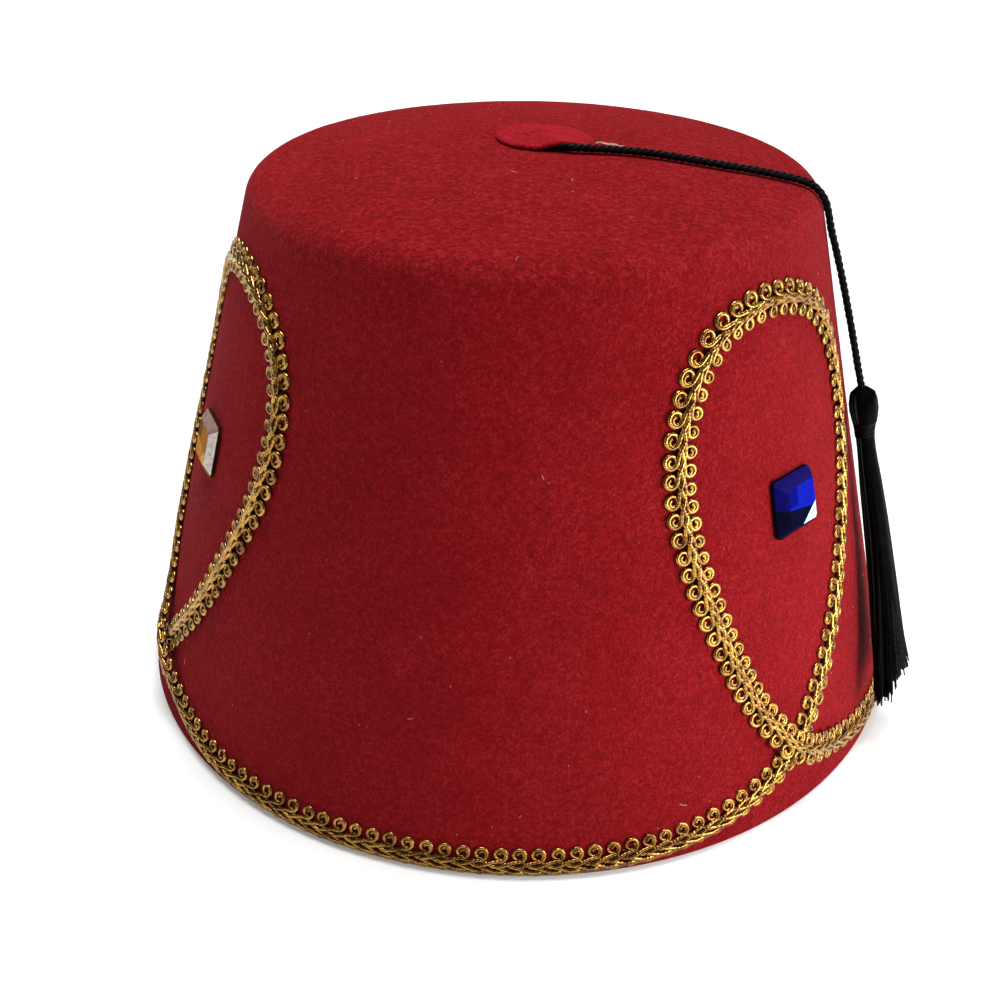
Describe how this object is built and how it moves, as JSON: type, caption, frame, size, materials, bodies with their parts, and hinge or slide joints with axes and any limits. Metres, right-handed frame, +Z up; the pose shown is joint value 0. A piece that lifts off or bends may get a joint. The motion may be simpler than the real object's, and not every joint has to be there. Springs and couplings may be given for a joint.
{
  "type": "fez hat",
  "caption": "A red felt fez with a gold gimp braid that runs round the rim and crosses into loops framing cut stones, a felt button on top and a black tassel on a free cord.",
  "frame": {"origin": "On the floor at the middle of the hat's bounding box, with the rim standing on z = 0.", "axes": "+Z up the hat, -Y towards the side the picture is taken from, +X to the picture's right, where the tassel hangs."},
  "size_m": [0.1922, 0.192, 0.1327],
  "materials": {
    "red_felt": "fuzzy pressed wool felt, matt",
    "button_felt": "brighter wool felt, matt",
    "gold_gimp": "metallic gold thread wound into scroll gimp",
    "blue_glass": "polished, foil backed",
    "amber_glass": "polished, foil backed",
    "black_cord": "twisted rayon cord",
    "black_strands": "rayon strands, slightly glossy"
  },
  "bodies": {
    "root": {"felt_crown": "red_felt", "felt_button": "button_felt", "gold_braid": "gold_gimp", "blue_stone": "blue_glass", "amber_stone": "amber_glass", "rear_stone": "blue_glass", "cord": "black_cord", "tassel": "black_strands"}
  },
  "joints": []
}
